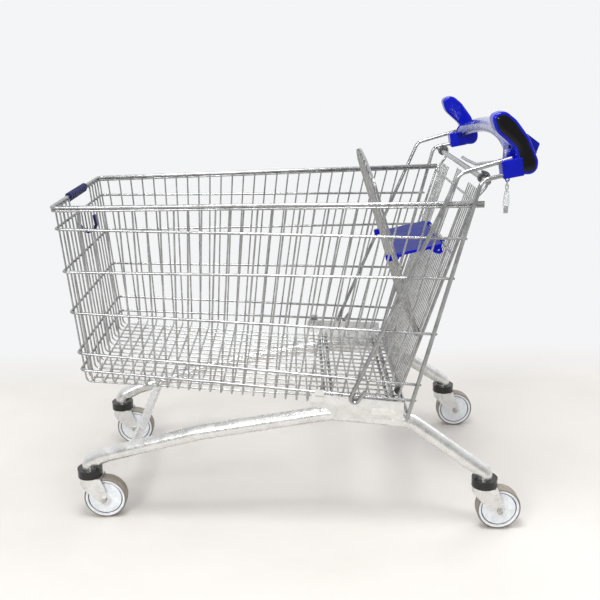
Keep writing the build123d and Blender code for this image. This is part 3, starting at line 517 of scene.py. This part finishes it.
def add_insert_domes(materials):
    """The crowned glossy skin on each horn's black insert."""
    for name, side in (("left", 1), ("right", -1)):
        loop, y = outline_loop("horn_inserts", side)
        outline = [Vector(point) for point in loop]
        count = len(outline)
        high_x = max(point.x for point in outline)
        high_z = max(point.y for point in outline)
        flat = list(outline)
        x = min(point.x for point in outline) + dome_grid
        while x < high_x:
            z = min(point.y for point in outline) + dome_grid
            while z < high_z:
                flat.append(Vector((x, z)))
                z += dome_grid
            x += dome_grid
        border = [(index, (index + 1) % count) for index in range(count)]
        places, _, triangles, *_ = geometry.delaunay_2d_cdt(flat, border, [], 1, 1e-6)
        points = []
        for place in places:
            inward = min(edge_distance(place, outline) / dome_shoulder, 1.0)
            height = dome_rise * (1 - (1 - inward) ** 2)
            points.append((place.x, y + side * (dome_gap + height), place.y))
        mesh_piece(f"insert_dome_{name}", points, [tuple(face) for face in triangles], "cart_frame",
                   materials["insert_black"])


def add_label():
    """A thin blank sticker with cut corners, laid on the outside of the left side plate."""
    columns = 24
    rows = 8
    outside_y = 0.45
    points = []
    for row in range(rows + 1):
        for column in range(columns + 1):
            x = label_x[0] + (label_x[1] - label_x[0]) * column / columns
            z = label_z[0] + (label_z[1] - label_z[0]) * row / rows
            hit, place, normal, _ = nodes["side_plates"].ray_cast(Vector((x, outside_y, z)),
                                                                  Vector((0, -1, 0)))
            assert hit, (x, z)
            if normal.y < 0:
                normal = -normal
            points.append(tuple(place + normal * label_thickness))
    faces = []
    for row in range(rows):
        for column in range(columns):
            corner = row * (columns + 1) + column
            at_side = column in (0, columns - 1)
            at_edge = row in (0, rows - 1)
            if at_side and at_edge:
                continue
            faces.append((corner, corner + 1, corner + columns + 2, corner + columns + 1))
    mesh_piece("plate_label", points, faces, "cart_frame", label_material("label_white"))


# ---------------------------------------------------------------- stage
def floor_material():
    """Pale warm floor with faint smudges, which fades into the white room behind and far away."""
    graph = Graph("studio_floor")
    smudges = graph.noise(1.3, 5, 0.6)
    fine = graph.noise(40, 4)
    colour = graph.mix(graph.between(smudges, 0.35, 0.7), (0.58, 0.555, 0.525), (0.66, 0.635, 0.605))
    colour = graph.mix(graph.math("MULTIPLY", fine, 0.12), colour, (0.54, 0.51, 0.48))
    graph.set(Base_Color=colour, Roughness=graph.between(smudges, 0.3, 0.7, 0.42, 0.6),
              Normal=graph.bump(fine, 0.0006, 0.2))
    glow = graph.tree.nodes.new("ShaderNodeEmission")
    glow.inputs["Color"].default_value = (*room_colour, 1.0)
    graph.put(glow.inputs["Strength"], graph.between(graph.axis("Y"), 1.2, 5.0, room_white, band_white))
    length = graph.tree.nodes.new("ShaderNodeVectorMath")
    length.operation = "LENGTH"
    graph.put(length.inputs[0], graph.place)
    behind = graph.between(graph.axis("Y"), -0.60, -0.95)
    far = graph.between(length.outputs["Value"], 3.0, 7.0)
    blend = graph.tree.nodes.new("ShaderNodeMixShader")
    in_front = graph.between(graph.axis("Y"), 0.9, 3.0)
    graph.put(blend.inputs[0], graph.math("MAXIMUM", graph.math("MAXIMUM", behind, far), in_front))
    graph.put(blend.inputs[1], graph.shader.outputs["BSDF"])
    graph.put(blend.inputs[2], glow.outputs[0])
    output = graph.tree.get_output_node("ALL")
    graph.put(output.inputs["Surface"], blend.outputs[0])
    return graph.material


def add_floor():
    """A large plain floor under the wheels."""
    mesh = bpy.data.meshes.new("studio_floor")
    signs = ((-1, -1), (1, -1), (1, 1), (-1, 1))
    mesh.from_pydata([(floor_size * x, floor_size * y, 0) for x, y in signs], [], [(0, 1, 2, 3)])
    mesh.materials.append(floor_material())
    floor = bpy.data.objects.new("studio_floor", mesh)
    bpy.context.collection.objects.link(floor)


def add_world():
    """White room with a bright ceiling and a darker band on the side away from the wall."""
    world = bpy.data.worlds.new("studio")
    bpy.context.scene.world = world
    world.use_nodes = True
    tree = world.node_tree
    tree.nodes.clear()
    output = tree.nodes.new("ShaderNodeOutputWorld")
    background = tree.nodes.new("ShaderNodeBackground")
    place = tree.nodes.new("ShaderNodeTexCoord")
    split = tree.nodes.new("ShaderNodeSeparateXYZ")
    tree.links.new(place.outputs["Generated"], split.inputs[0])
    steps = []
    band_limits = (("Y", -0.1, 0.7), ("Z", -0.12, -0.06), ("Z", 0.95, 0.40))
    for axis, low, high in band_limits:
        step = tree.nodes.new("ShaderNodeMapRange")
        step.inputs["From Min"].default_value = low
        step.inputs["From Max"].default_value = high
        tree.links.new(split.outputs[axis], step.inputs["Value"])
        steps.append(step.outputs["Result"])
    band = steps[0]
    for step in steps[1:]:
        product = tree.nodes.new("ShaderNodeMath")
        product.operation = "MULTIPLY"
        tree.links.new(band, product.inputs[0])
        tree.links.new(step, product.inputs[1])
        band = product.outputs[0]
    shade = tree.nodes.new("ShaderNodeMapRange")
    shade.inputs["To Min"].default_value = room_white
    shade.inputs["To Max"].default_value = band_white
    tree.links.new(band, shade.inputs["Value"])
    tree.links.new(shade.outputs["Result"], background.inputs["Strength"])
    background.inputs["Color"].default_value = (*room_colour, 1.0)
    tree.links.new(background.outputs[0], output.inputs[0])


def add_light(name, place, target, size, power):
    """A soft square light that points at a target."""
    data = bpy.data.lights.new(name, "AREA")
    data.size = size
    data.energy = power
    light = bpy.data.objects.new(name, data)
    light.location = place
    direction = Vector(target) - Vector(place)
    light.rotation_euler = direction.to_track_quat("-Z", "Y").to_euler()
    bpy.context.collection.objects.link(light)


def add_lights():
    """Overhead light, two fills, and a small one whose reflection shows on glossy plastic."""
    add_light("overhead", (0.1, 0.7, 2.8), (0, 0, 0.3), 0.8, 46)
    add_light("front_fill", (1.3, 2.6, 2.0), (0, 0, 0.5), 0.8, 34)
    add_light("rear_fill", (-1.8, -1.2, 2.0), (0, 0, 0.5), 1.2, 14)
    add_light("gloss_light", (0.05, 2.5, 1.45), (-0.3, 0, 0.85), 0.3, 13)


def add_camera():
    """Camera at the reference view, from its yaw, pitch and roll."""
    forward = Vector((math.sin(camera_yaw) * math.cos(camera_pitch),
                      -math.cos(camera_yaw) * math.cos(camera_pitch),
                      -math.sin(camera_pitch)))
    level = Vector((-math.cos(camera_yaw), -math.sin(camera_yaw), 0))
    down = forward.cross(level)
    right = level * math.cos(camera_roll) + down * math.sin(camera_roll)
    below = down * math.cos(camera_roll) - level * math.sin(camera_roll)
    data = bpy.data.cameras.new("reference_view")
    data.lens = camera_lens
    data.sensor_width = 36.0
    data.clip_start = 0.01
    camera = bpy.data.objects.new("reference_view", data)
    turn = Matrix((right, -below, -forward)).transposed().to_4x4()
    camera.matrix_world = Matrix.Translation(camera_place) @ turn
    bpy.context.collection.objects.link(camera)
    bpy.context.scene.camera = camera


bpy.context.scene.view_settings.view_transform = "Standard"
materials = make_materials()
paint_nodes(materials)
add_wheel_seals(materials)
add_insert_domes(materials)
add_label()
add_floor()
add_world()
add_lights()
add_camera()
